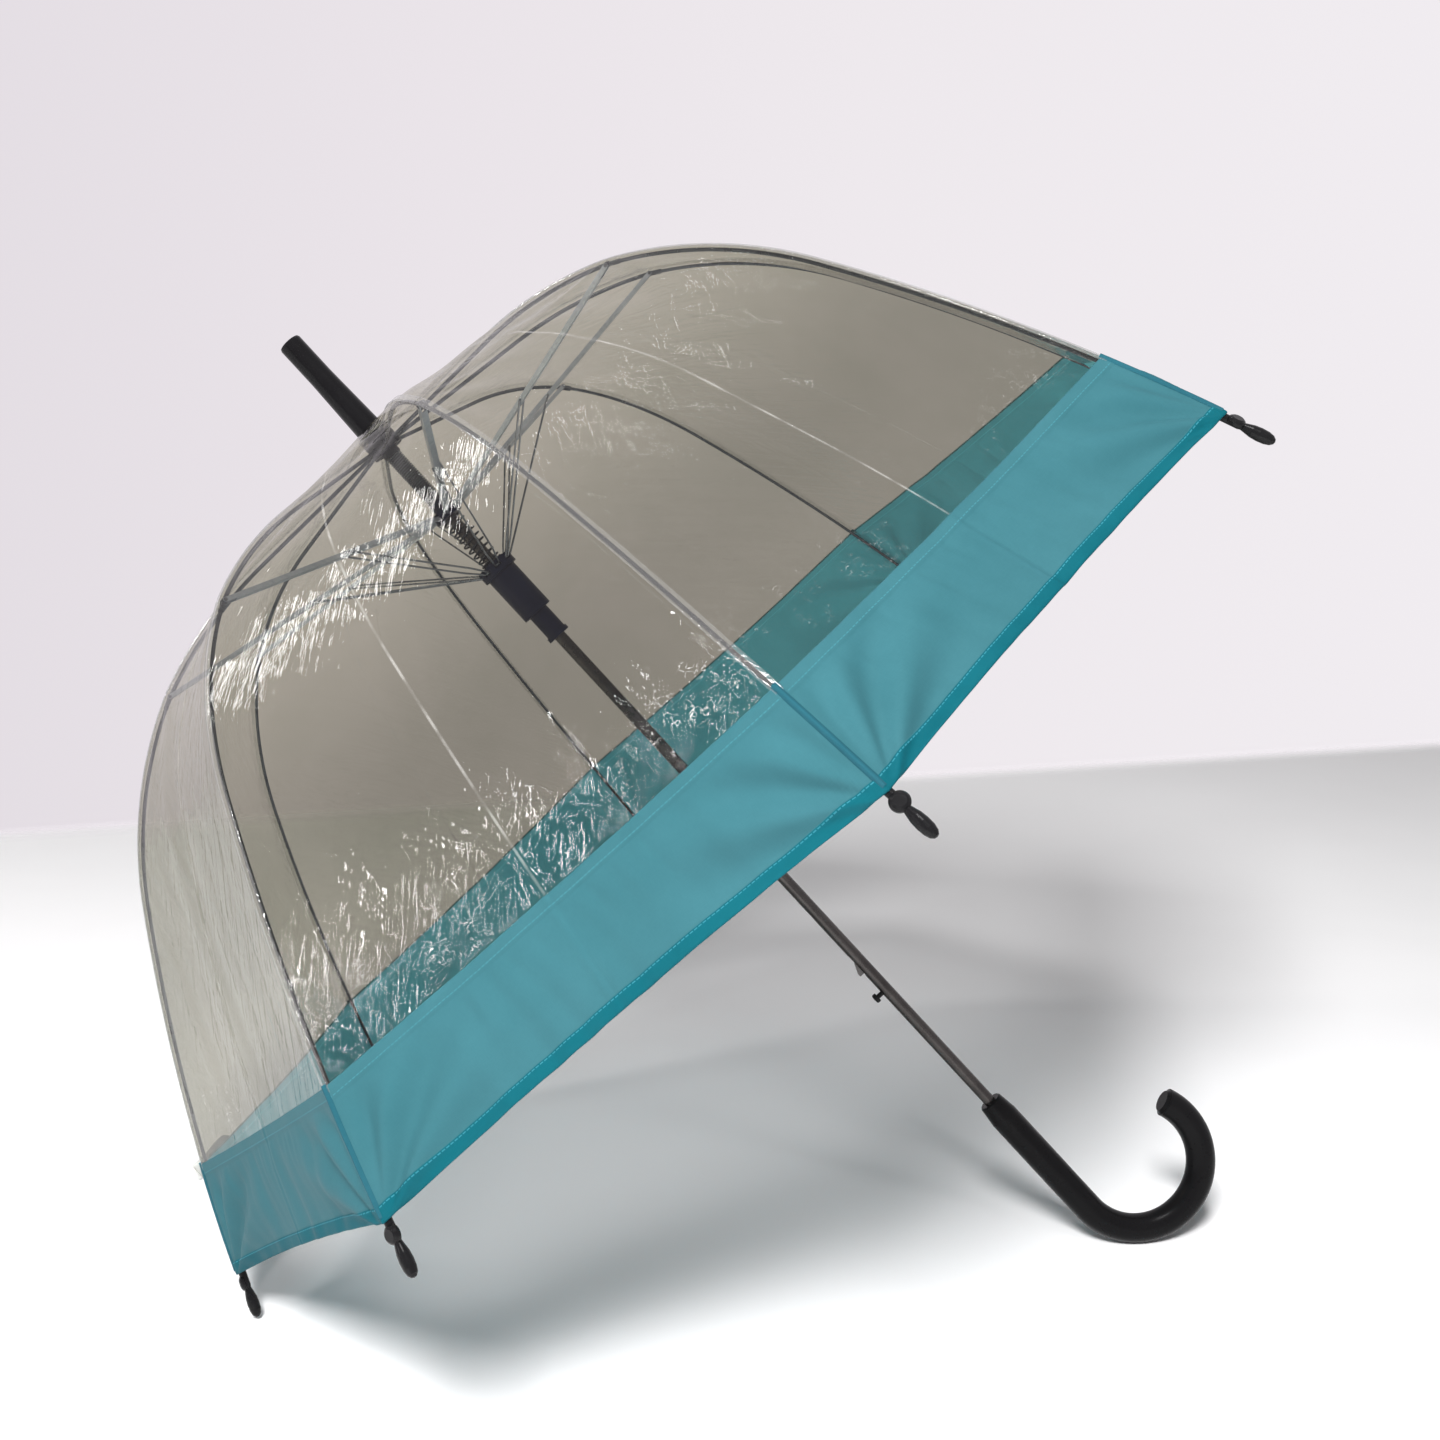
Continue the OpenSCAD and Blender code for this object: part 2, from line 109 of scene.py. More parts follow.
def relief(g, s, W, r):
    """How far the skin stands off the straight chord between two ribs, in mm outward.
    g is the gore, W runs from 0 at rib g to 1 at rib g+1; it is 0 over both ribs, so gores and halves stay joined."""
    c = 0.7654 * r
    t = W * c
    e = sin(pi * W)
    m = min(t, c - t)
    d = -5.0 * e * ss(30, 300, s)
    d += 1.0 * e * nz(t / 26, s / 170, g * 7.3) * ss(60, 200, s)
    d += 0.45 * e * nz(t / 55, s / 75, g * 3.1 + 20)
    if s < BAND_S + 12:
        # pulls that leave each rib joint, and long slanting pulls in the shoulder
        for q, x in ((0, t), (1, c - t)):
            dist, ang = hypot(x, s - LEN_IN), atan2(s - LEN_IN, x + 1e-6)
            d += 0.5 * sin(ang * 11 + g * 1.7 + q * 2) * exp(-((dist - 45) / 48) ** 2) * ss(0, 14, m)
        d += 0.3 * nz((t + 0.55 * s) / 9, (s - 0.4 * t) / 75, g * 5.7 + 3) * ss(0, 25, m) * ss(120, 230, s) * ss(430, 330, s)
        # fine crinkles above the band
        patch = ss(-0.12, 0.3, nz(t / 60, s / 55, g * 2.9 + 40))
        band_near = ss(372, 462, s) * ss(BAND_S - 1, BAND_S - 14, s)
        d += CRINKLE[g] * 0.085 * patch * band_near * ss(0, 9, m) * nz(t / 7, s / 5.5, g * 1.3 + 60)
        d += CRINKLE[g] * 0.05 * band_near * ss(0, 6, m) * nz(t / 4.5, s / 24, g * 1.9 + 80)
    if s > BAND_S:
        k = ss(BAND_S + 2, BAND_S + 26, s)
        # soft gathers that hang from the seam, and folds that fan out of each corner
        d += 2.3 * k * e * nz(t / 15, s / 120, g * 4.1 + 9)
        d += 0.8 * e * nz(t / 6, s / 90, g * 2.3 + 50) * ss(BAND_S + 6, BAND_S + 12, s) * ss(BAND_S + 46, BAND_S + 14, s)
        for q, x in ((0, t), (1, c - t)):
            dist, ang = hypot(x, LEN_ALL + 3 - s), atan2(LEN_ALL + 3 - s, x + 1e-6)
            d += 2.8 * k * sin(ang * 11 + 0.8 * q + g) * exp(-((dist - 62) / 58) ** 2) * ss(0, 16, m)
    # the crease half-way between two ribs, where the gore was folded
    x = (t - c / 2) / 1.7
    d += (0.22 if s < BAND_S else 0.26) * x * exp(0.5 - x * x / 2) * ss(110, 170, s)
    return d


def skin_point(g, s, W, off, crown=None):
    """A point of gore g's skin in the row frame, in mm. off is the height over the rib's centre line."""
    if crown:
        r, z, slope = crown
    else:
        r, z, slope = line_at(s)
        r, z = r + off * sin(radians(slope)), z + off * cos(radians(slope))
    a0, a1 = az(g), az(g) - radians(GORE)
    x = (1 - W) * r * cos(a0) + W * r * cos(a1)
    y = (1 - W) * r * sin(a0) + W * r * sin(a1)
    if s > BAND_S:
        z += 4.0 * (s - BAND_S) / BAND_H * (1 - (2 * W - 1) ** 2)
    if crown:
        d = crown_relief(g, r, W)
    else:
        d = relief(g, s, W, r)
    am, sl = az(g) - HALF, atan2(sin(radians(slope)), cos(radians(slope)) * cos(HALF))
    return Vector((x + d * sin(sl) * cos(am), y + d * sin(sl) * sin(am), z + d * cos(sl)))


def crown_relief(g, r, W):
    """Small pleats where the film is gathered under the washer."""
    a = W * 5 * 2 * pi
    return 0.28 * sin(a) * sin(pi * W) * ss(11, 17, r) * ss(44, 26, r)


def half_w(side, w):
    """W across the gore for w across the half next to a rib; side -1 is gore k, +1 is gore k-1."""
    return w / 2 if side < 0 else 1 - w / 2


def gore_of(k, side):
    return k if side < 0 else (k - 2) % 8 + 1


# ---------------------------------------------------------------- mesh and material helpers
def make(name, verts, faces, mats, smooth=True, index=None, cloth=None):
    me = bpy.data.meshes.new(name)
    me.from_pydata([tuple(v) for v in verts], [], faces)
    for m in mats:
        me.materials.append(m)
    me.polygons.foreach_set("use_smooth", [smooth] * len(me.polygons))
    if index:
        me.polygons.foreach_set("material_index", index)
    if cloth:
        at = me.attributes.new("cloth", "FLOAT_VECTOR", "POINT")
        at.data.foreach_set("vector", [x for v in cloth for x in v])
    me.validate()
    me.update()
    o = bpy.data.objects.new(name, me)
    bpy.context.scene.collection.objects.link(o)
    return o


def grid_faces(rows, cols, flip=False):
    out = []
    for i in range(rows - 1):
        for j in range(cols - 1):
            a = i * cols + j
            f = (a, a + 1, a + cols + 1, a + cols)
            out.append(f[::-1] if flip else f)
    return out


def tube(name, pts, rad, mats, sides=10, up=None):
    """A closed round tube along pts, in mm; rad is one radius or one for each point."""
    n = len(pts)
    rad = rad if hasattr(rad, "__len__") else [rad] * n
    pts = [Vector(p) for p in pts]
    verts, faces = [], []
    u = None
    for i, p in enumerate(pts):
        t = (pts[min(i + 1, n - 1)] - pts[max(i - 1, 0)]).normalized()
        if u is None:
            u = t.cross(Vector(up or (0, 0, 1)))
            if u.length < 1e-4:
                u = t.cross(Vector((1, 0, 0)))
        u = (u - t * u.dot(t)).normalized()
        v = t.cross(u)
        for j in range(sides):
            a = 2 * pi * j / sides
            verts.append((p + rad[i] * (cos(a) * u + sin(a) * v)) * MM)
    for i in range(n - 1):
        for j in range(sides):
            a, b = i * sides + j, i * sides + (j + 1) % sides
            faces.append((a, b, b + sides, a + sides))
    faces.append(tuple(range(sides))[::-1])
    faces.append(tuple(range((n - 1) * sides, n * sides)))
    return make(name, verts, faces, mats)


class Mat:
    """A node material built from small calls."""

    def __init__(self, name, **sockets):
        self.m = bpy.data.materials.new(name)
        self.m.use_nodes = True
        self.nt = self.m.node_tree
        self.nt.nodes.clear()
        self.out = self.nt.nodes.new("ShaderNodeOutputMaterial")
        self.p = self.nt.nodes.new("ShaderNodeBsdfPrincipled")
        self.link(self.p.outputs[0], self.out.inputs[0])
        for key, value in sockets.items():
            self.p.inputs[key.replace("_", " ")].default_value = value

    def link(self, a, b):
        self.nt.links.new(a, b)

    def node(self, kind, **props):
        n = self.nt.nodes.new(kind)
        for key, value in props.items():
            setattr(n, key, value)
        return n

    def coords(self, scale=(1, 1, 1), attribute=None):
        if attribute:
            src = self.node("ShaderNodeAttribute", attribute_name=attribute).outputs["Vector"]
        else:
            src = self.node("ShaderNodeTexCoord").outputs["Object"]
        m = self.node("ShaderNodeMapping")
        m.inputs["Scale"].default_value = scale
        self.link(src, m.inputs["Vector"])
        return m.outputs[0]

    def noise(self, co, scale=1.0, detail=3.0, rough=0.55, distortion=0.0):
        n = self.node("ShaderNodeTexNoise")
        n.inputs["Scale"].default_value = scale
        n.inputs["Detail"].default_value = detail
        n.inputs["Roughness"].default_value = rough
        n.inputs["Distortion"].default_value = distortion
        self.link(co, n.inputs["Vector"])
        return n.outputs["Fac"]

    def voronoi(self, co, scale=1.0, feature="F1"):
        n = self.node("ShaderNodeTexVoronoi", feature=feature)
        n.inputs["Scale"].default_value = scale
        self.link(co, n.inputs["Vector"])
        return n.outputs["Distance"]

    def ramp(self, fac, stops):
        r = self.node("ShaderNodeValToRGB")
        while len(r.color_ramp.elements) < len(stops):
            r.color_ramp.elements.new(0.5)
        for el, (pos, col) in zip(r.color_ramp.elements, stops):
            el.position = pos
            el.color = (*col, 1) if hasattr(col, "__len__") else (col, col, col, 1)
        self.link(fac, r.inputs[0])
        return r.outputs[0]

    def math(self, op, a, b=None, c=None, clamp=False):
        n = self.node("ShaderNodeMath", operation=op, use_clamp=clamp)
        for i, x in enumerate((a, b, c)):
            if x is None:
                continue
            if isinstance(x, (int, float)):
                n.inputs[i].default_value = x
            else:
                self.link(x, n.inputs[i])
        return n.outputs[0]

    def span(self, x, a, b, lo=0.0, hi=1.0, smooth=True):
        n = self.node("ShaderNodeMapRange")
        if smooth:
            n.interpolation_type = "SMOOTHSTEP"
        for i, v in enumerate((a, b, lo, hi)):
            n.inputs[i + 1].default_value = v
        self.link(x, n.inputs[0])
        return n.outputs[0]

    def mix(self, fac, a, b, blend="MIX"):
        n = self.node("ShaderNodeMix", data_type="RGBA", blend_type=blend)
        for sock, x in ((n.inputs[0], fac), (n.inputs[6], a), (n.inputs[7], b)):
            if hasattr(x, "links") or hasattr(x, "is_linked"):
                self.link(x, sock)
            else:
                sock.default_value = (*x, 1) if hasattr(x, "__len__") else x
        return n.outputs[2]

    def xyz(self, co):
        n = self.node("ShaderNodeSeparateXYZ")
        self.link(co, n.inputs[0])
        return n.outputs

    def bump(self, height, strength=0.3, distance=0.0002, normal=None):
        n = self.node("ShaderNodeBump")
        n.inputs["Strength"].default_value = strength
        n.inputs["Distance"].default_value = distance
        self.link(height, n.inputs["Height"])
        if normal:
            self.link(normal, n.inputs["Normal"])
        return n.outputs[0]

    def set(self, **links):
        for key, src in links.items():
            self.link(src, self.p.inputs[key.replace("_", " ")])
        return self


# ---------------------------------------------------------------- materials
def hard_plastic(name, dark, light, rough=(0.25, 0.4), coat=0.0, speck=1400, peel=0.04, spec=0.28):
    """Moulded plastic: a slightly uneven colour, a fine peel in the gloss, rubbed patches."""
    m = Mat(name, IOR=1.5, Specular_IOR_Level=spec, Coat_Weight=coat, Coat_Roughness=0.08)
    co = m.coords()
    big, fine = m.noise(co, 38, 4), m.noise(co, speck, 3, 0.6)
    m.set(
        Base_Color=m.ramp(m.math("MULTIPLY_ADD", fine, 0.35, m.math("MULTIPLY", big, 0.65)), [(0.3, dark), (0.72, light)]),
        Roughness=m.ramp(m.noise(co, 95, 5, 0.65), [(0.3, rough[0]), (0.75, rough[1])]),
        Normal=m.bump(m.noise(co, 620, 2), peel, 0.00015, m.bump(big, peel * 1.5, 0.0006)),
    )
    return m.m


def drawn_metal(name, dark, light, rough=(0.25, 0.42), metal=0.9, stretch=(900, 900, 14), spec=0.5):
    """Drawn steel: fine lines along the part, cloudy tint, dull patches."""
    m = Mat(name, Metallic=metal, Specular_IOR_Level=spec)
    lines, cloud = m.noise(m.coords(stretch), 1, 3, 0.6), m.noise(m.coords(), 55, 4, 0.6)
    m.set(
        Base_Color=m.ramp(m.math("MULTIPLY_ADD", cloud, 0.55, m.math("MULTIPLY", lines, 0.45)), [(0.32, dark), (0.68, light)]),
        Roughness=m.ramp(cloud, [(0.3, rough[0]), (0.75, rough[1])]),
        Normal=m.bump(lines, 0.12, 0.00008),
    )
    return m.m


gloss_black = hard_plastic("handle_gloss_black", (0.0028, 0.0027, 0.003), (0.005, 0.0048, 0.0052), (0.24, 0.36), spec=0.1)
ferrule_black = hard_plastic("ferrule_gloss_black", (0.0032, 0.003, 0.0035), (0.0056, 0.0054, 0.006), (0.14, 0.22), spec=0.14)
tip_black = hard_plastic("tip_black_plastic", (0.0034, 0.0034, 0.0038), (0.0065, 0.0065, 0.0072), (0.22, 0.34), speck=2200, spec=0.16)
notch_black = hard_plastic("notch_black_plastic", (0.009, 0.0092, 0.01), (0.02, 0.02, 0.022), (0.35, 0.5), speck=1800)
navy = hard_plastic("runner_navy_plastic", (0.0035, 0.0045, 0.014), (0.007, 0.009, 0.026), (0.3, 0.46), speck=1800, spec=0.16)
washer_grey = hard_plastic("washer_grey_plastic", (0.16, 0.165, 0.17), (0.27, 0.275, 0.28), (0.4, 0.55), speck=1500)
snap_white = hard_plastic("snap_white_plastic", (0.68, 0.67, 0.65), (0.82, 0.81, 0.79), (0.28, 0.42), speck=1800)
gunmetal = drawn_metal("shaft_gunmetal", (0.036, 0.033, 0.032), (0.085, 0.078, 0.074), (0.22, 0.34), 0.9)
dark_rod = drawn_metal("rib_dark_steel", (0.050, 0.056, 0.066), (0.115, 0.124, 0.138), (0.22, 0.36), 0.82, (260, 260, 260))
zinc = drawn_metal("stretcher_zinc", (0.30, 0.33, 0.38), (0.50, 0.535, 0.59), (0.26, 0.42), 0.88, (420, 420, 120))
wire = drawn_metal("bright_wire", (0.42, 0.43, 0.44), (0.66, 0.67, 0.68), (0.2, 0.34), 0.95, (500, 500, 500))
link_steel = drawn_metal("link_wire_steel", (0.11, 0.118, 0.13), (0.24, 0.25, 0.27), (0.22, 0.36), 0.88, (400, 400, 60))
catch_steel = drawn_metal("catch_dark_steel", (0.07, 0.068, 0.066), (0.15, 0.145, 0.14), (0.28, 0.45), 0.85)
spring_black = drawn_metal("spring_black_steel", (0.013, 0.014, 0.016), (0.05, 0.052, 0.058), (0.2, 0.34), 0.6, (700, 700, 700))
spring_grey = drawn_metal("spring_oiled_steel", (0.04, 0.045, 0.05), (0.13, 0.14, 0.15), (0.2, 0.34), 0.8, (700, 700, 700))


def clear_film(name, tint_a, tint_b, rough, ripple=0.5, gloss=0.045, haze=0.0, haze_and_glint_white=(0.6, 0.6, 0.58), sparkle=0.0, shade=(0.8, 0.8, 0.8), paint_white_lines_and_glints=False, deepen=1.0):
    """Clear PVC as one thin layer: a faint smoky tint, a gloss that grows edge-on, streaky ripples,
    and fine crinkles towards the band. haze is the share that is milky. It can also carry painted white highlights on
    the crinkles and along the middle fold."""
    m = Mat(name, IOR=1.5, Roughness=0.25)
    co = m.coords()
    cloud = m.noise(co, 7.5, 4, 0.6, 0.6)
    # long streaks that run slantwise over the film
    turn = m.node("ShaderNodeMapping")
    turn.inputs["Rotation"].default_value = (0, 0, radians(38))
    turn.inputs["Scale"].default_value = (150, 150, 1)
    m.link(m.node("ShaderNodeAttribute", attribute_name="cloth").outputs["Vector"], turn.inputs["Vector"])
    stretch = m.node("ShaderNodeMapping")
    stretch.inputs["Scale"].default_value = (1.0, 0.085, 1)
    m.link(turn.outputs[0], stretch.inputs["Vector"])
    streak = m.noise(stretch.outputs[0], 1, 3, 0.55, 0.5)
    normal = m.bump(streak, 0.55 * ripple, 0.0020, m.bump(m.noise(m.coords((34, 12, 1), "cloth"), 1, 3, 0.5, 0.8), 0.5 * ripple, 0.0040))
    if sparkle:
        v = m.xyz(m.coords((1, 1, 1), "cloth"))[1]
        zone = m.math("MULTIPLY", m.span(v, 0.436, 0.484), m.span(m.noise(m.coords((30, 30, 1), "cloth"), 1, 3), 0.42, 0.56))
        zone = m.math("MULTIPLY", zone, m.math("POWER", m.xyz(m.coords((1, 1, 1), "cloth"))[2], 2.0))
        tiny = m.noise(m.coords((330, 330, 0), "cloth"), 1, 2, 0.5, 1.2)
        normal = m.bump(m.math("MULTIPLY", tiny, zone), sparkle, 0.0030, normal)
    lw = m.node("ShaderNodeLayerWeight")
    lw.inputs["Blend"].default_value = 0.5
    fres = m.math("MULTIPLY_ADD", m.math("POWER", lw.outputs["Facing"], 4.2), 0.55, gloss, clamp=True)
    see, shine, top = m.node("ShaderNodeBsdfTransparent"), m.node("ShaderNodeBsdfGlossy"), m.node("ShaderNodeMixShader")
    # lamps pass with a grey shade, so that the shadow on the floor stays neutral
    path = m.node("ShaderNodeLightPath")
    tint = m.ramp(cloud, [(0.32, tint_a), (0.68, tint_b)])
    if deepen < 1:
        down = m.span(m.xyz(m.coords((1, 1, 1), "cloth"))[1], 0.20, 0.42, 1.0, deepen)
        tint = m.mix(1.0, tint, down, "MULTIPLY")
    m.link(m.mix(path.outputs["Is Shadow Ray"], tint, shade), see.inputs["Color"])
    shine.inputs["Color"].default_value = (1, 1, 1, 1)
    m.link(m.ramp(m.noise(co, 60, 4, 0.6), [(0.3, rough[0]), (0.75, rough[1])]), shine.inputs["Roughness"])
    m.link(normal, shine.inputs["Normal"])
    m.link(fres, top.inputs[0])
    m.link(see.outputs[0], top.inputs[1])
    m.link(shine.outputs[0], top.inputs[2])
    last = top
    if paint_white_lines_and_glints:
        # the fold line in the middle of the gore, painted white: partly the film's own fold whitening, partly a painted
        # highlight along the fold
        u, v, _ = m.xyz(m.coords((1, 1, 1), "cloth"))
        line = m.span(m.math("ABSOLUTE", u), 0.0003, 0.0010, 1, 0)
        along = m.span(m.noise(m.coords((0, 45, 0), "cloth"), 1, 2), 0.40, 0.62, 0.03, 0.20)
        white_line_and_glint_mask = m.math("MULTIPLY", m.math("MULTIPLY", line, along), m.span(v, 0.10, 0.17))
        # painted highlights: short white squiggles above the band, standing in for light caught by the crinkles
        wiggle = m.noise(m.coords((165, 205, 0), "cloth"), 1, 2, 0.6, 0.9)
        thin = m.span(m.math("ABSOLUTE", m.math("SUBTRACT", wiggle, 0.5)), 0.003, 0.012, 1, 0)
        broken = m.span(m.noise(m.coords((95, 80, 0), "cloth"), 1, 2), 0.49, 0.54)
        patch = m.math("MULTIPLY", m.span(m.noise(m.coords((24, 24, 0), "cloth"), 1, 2), 0.49, 0.56), m.math("MULTIPLY", m.span(v, 0.436, 0.470), m.span(v, 0.496, 0.490)))
        gain = m.math("POWER", m.xyz(m.coords((1, 1, 1), "cloth"))[2], 1.6)
        painted_glints = m.math("MULTIPLY", m.math("MULTIPLY", thin, broken), m.math("MULTIPLY", patch, gain))
        white_line_and_glint_mask = m.math("MAXIMUM", white_line_and_glint_mask, m.math("MULTIPLY", painted_glints, 0.75))
        m.set(Base_Color=m.ramp(cloud, [(0.3, tuple(0.9 * c for c in haze_and_glint_white)), (0.7, haze_and_glint_white)]), Normal=normal)
        last = m.node("ShaderNodeMixShader")
        m.link(white_line_and_glint_mask, last.inputs[0])
        m.link(top.outputs[0], last.inputs[1])
        m.link(m.p.outputs[0], last.inputs[2])
    elif haze:
        m.set(Base_Color=m.ramp(cloud, [(0.3, tuple(0.9 * c for c in haze_and_glint_white)), (0.7, haze_and_glint_white)]), Normal=normal)
        last = m.node("ShaderNodeMixShader")
        last.inputs[0].default_value = haze
        m.link(top.outputs[0], last.inputs[1])
        m.link(m.p.outputs[0], last.inputs[2])
    else:
        m.nt.nodes.remove(m.p)
    m.link(last.outputs[0], m.out.inputs[0])
    return m.m


film = clear_film("canopy_clear_film", (0.672, 0.666, 0.590), (0.735, 0.720, 0.649), (0.025, 0.07), 1.0, 0.026, sparkle=0.12, deepen=0.76, shade=(0.32, 0.32, 0.32), haze_and_glint_white=(0.80, 0.79, 0.76), paint_white_lines_and_glints=True)
weld_film = clear_film("weld_seam_film", (0.86, 0.87, 0.86), (0.92, 0.93, 0.92), (0.06, 0.14), 0.5, 0.09, 0.05)
strap_film = clear_film("strap_clear_vinyl", (0.80, 0.81, 0.80), (0.88, 0.89, 0.88), (0.12, 0.22), 0.4, 0.06, 0.5, (0.72, 0.73, 0.70))


def woven(name, dark, light, weave=1.0, sheer=0.30, sheen=0.015, rough=(0.55, 0.68), stitches=(), inner_painted_light=2.5):
    """Thin woven polyester: plain weave, slubs, cloudy colour, a soft satin sheen and some light coming through.
    stitches are (height of the row in m along the rib, thread colour)."""
    m = Mat(name, Sheen_Weight=sheen, Sheen_Roughness=0.35, Specular_IOR_Level=0.16)
    co = m.coords((1, 1, 1), "cloth")
    u, v, _ = m.xyz(co)
    pitch = 2 * pi / 0.00046
    warp, weft = m.math("SINE", m.math("MULTIPLY", u, pitch)), m.math("SINE", m.math("MULTIPLY", v, pitch))
    cloth = m.math("MULTIPLY", warp, weft)
    slub = m.noise(m.coords((260, 2200, 1), "cloth"), 1, 2)
    slub_b = m.noise(m.coords((2200, 260, 1), "cloth"), 1, 2)
    cloud = m.noise(m.coords(), 16, 4, 0.6)
    tone = m.math("ADD", m.math("MULTIPLY", cloud, 0.62), m.math("MULTIPLY", m.math("ADD", slub, slub_b), 0.19))
    tone = m.math("MULTIPLY_ADD", cloth, 0.045, tone)
    colour = m.ramp(tone, [(0.3, dark), (0.72, light)])
    height = m.math("MULTIPLY_ADD", slub, 0.5, cloth)
    normal = m.bump(height, 0.22 * weave, 0.00006, m.bump(m.noise(m.coords((60, 26, 1), "cloth"), 1, 3), 0.25, 0.0012))
    for row, thread in stitches:
        near = m.span(m.math("ABSOLUTE", m.math("SUBTRACT", v, row)), 0.00022, 0.00042, 1, 0)
        dash = m.span(m.math("ABSOLUTE", m.math("SUBTRACT", m.math("FRACT", m.math("MULTIPLY", u, 1 / 0.0026)), 0.5)), 0.30, 0.40, 1, 0)
        on = m.math("MULTIPLY", near, dash)
        colour = m.mix(on, colour, thread)
        normal = m.bump(on, 0.6, 0.0003, normal)
    rough_tex = m.ramp(cloud, [(0.3, rough[0]), (0.75, rough[1])])
    # painted light: the inner side of the cloth is drawn lighter and bluer, standing in for light that reaches the
    # inner side of the band
    geo = m.node("ShaderNodeNewGeometry")
    painted_inner_light_colour = m.mix(1.0, colour, (inner_painted_light, 1.3 * inner_painted_light, 1.3 * inner_painted_light), "MULTIPLY")
    colour = m.mix(geo.outputs["Backfacing"], colour, painted_inner_light_colour)
    m.set(Base_Color=colour, Roughness=rough_tex, Normal=normal)
    back = m.node("ShaderNodeBsdfTranslucent")
    m.link(colour, back.inputs["Color"])
    m.link(normal, back.inputs["Normal"])
    both = m.node("ShaderNodeMixShader")
    both.inputs[0].default_value = sheer
    m.link(m.p.outputs[0], both.inputs[1])
    m.link(back.outputs[0], both.inputs[2])
    m.link(both.outputs[0], m.out.inputs[0])
    return m.m


S = MM
band_cloth = woven("band_teal_fabric", (0.032, 0.124, 0.147), (0.046, 0.158, 0.187))
seam_cloth = woven("band_top_seam_fabric", (0.033, 0.126, 0.149), (0.047, 0.160, 0.189), stitches=[((BAND_S + 5.8) * S, (0.052, 0.20, 0.24))])
hem_cloth = woven("band_hem_fabric", (0.003, 0.098, 0.126), (0.006, 0.128, 0.160), sheer=0.34, stitches=[((LEN_ALL - 8.0) * S, (0.04, 0.24, 0.30))])
# the pocket cloth is darker than the band: partly the doubled cloth of the pocket, partly a painted shadow of the rod
# under it
pocket_rod_shade_cloth = woven("rib_pocket_rod_shade_fabric", (0.010, 0.070, 0.095), (0.020, 0.100, 0.130), sheer=0.1)

# ---------------------------------------------------------------- carried-over CAD nodes
looks = {
    "shaft_tube": gunmetal, "ferrule": ferrule_black, "ferrule_washer": washer_grey, "top_notch": notch_black,
    "notch_wire": wire, "handle": gloss_black, "catch": catch_steel, "release_button": tip_black,
    "button_spring": catch_steel, "slide_notch": navy, "slide_notch_wire": wire, "runner": navy,
}
for k in range(1, 9):
    looks.update({
        f"rib_{k}": dark_rod, f"rib_outer_{k}": dark_rod, f"rib_tip_{k}": tip_black,
        f"stretcher_{k}": zinc, f"link_{k}": link_steel,
    })
for name, look in looks.items():
    o = nodes[name]
    if not o.material_slots:
        o.data.materials.append(look)
    for slot in o.material_slots:
        slot.material = look

# ---------------------------------------------------------------- canopy: film and band, in halves beside each rib
FILM_OFF = 2.95


def crown_rows():
    """(s, (r, z, slope)) from under the washer down to the ribs."""
    r1, z1, s1 = line_at(34)
    r1, z1 = r1 + FILM_OFF * sin(radians(s1)), z1 + FILM_OFF * cos(radians(s1))
    top = NOTCH_Z + 0.42
    rows = [(0, (r, top, 1.0)) for r in (5.0, 8.0, 11.0, 13.2)]
    n = 11
    for i in range(1, n):
        t = i / n
        r = 13.2 + (r1 - 13.2) * t
        z = top + (z1 - top) * t * t * (3 - 2 * t)
        rows.append((0, (r, z, 1.0 + 20 * sin(pi * t))))
    return rows


def frange(a, b, step):
    n = max(1, round((b - a) / step))
    return [a + (b - a) * i / n for i in range(n + 1)]


def squash_axis(k, side, s0, s1):
    """Across one half of a gore, square to the rib's chord from s0 to s1; and a point on that chord, half the sagitta out."""
    a = az(k)
    radial, tang = Vector((cos(a), sin(a), 0)), Vector((-sin(a), cos(a), 0))
    p0, p1, pm = line_at(s0), line_at(s1), line_at((s0 + s1) / 2)
    sl = atan2(p0[1] - p1[1], p1[0] - p0[0])
    out = radial * sin(sl) + Vector((0, 0, cos(sl)))
    mid = radial * ((p0[0] + p1[0]) / 2) + Vector((0, 0, (p0[1] + p1[1]) / 2))
    bulge = (radial * pm[0] + Vector((0, 0, pm[1])) - mid).dot(out)
    n = (tang * side * cos(HALF) - out * sin(HALF) * sin(sl)).normalized()
    return n, (mid + out * bulge / 2) * MM


canopy_parts, band_parts = [], []


def skin_half(name, k, side, rows, cols, mats, index_of=None):
    """One half of a gore, beside rib k. rows are (s, off) or (s, (r, z, slope))."""
    g = gore_of(k, side)
    verts, cloth = [], []
    # closer columns at the crease in the middle of the gore
    across = [0.962 * j / (cols - 7) for j in range(cols - 6)] + [0.972, 0.980, 0.986, 0.991, 0.9955, 1.0]
    for s, where in rows:
        crown = where if isinstance(where, tuple) else None
        for j in range(cols):
            W = half_w(side, across[j])
            verts.append(skin_point(g, s, W, 0 if crown else where, crown) * MM)
            width = 0.7654 * (crown[0] if crown else line_at(s)[0])
            cloth.append((width * (W - 0.5) * MM, (s if not crown else 34 - (46 - crown[0])) * MM, CRINKLE[g]))
    faces = grid_faces(len(rows), cols, flip=side > 0)
    index = [index_of(rows[i][0], i) for i in range(len(rows) - 1) for _ in range(cols - 1)] if index_of else None
    o = make(name, verts, faces, mats, True, index, cloth)
    return o, verts


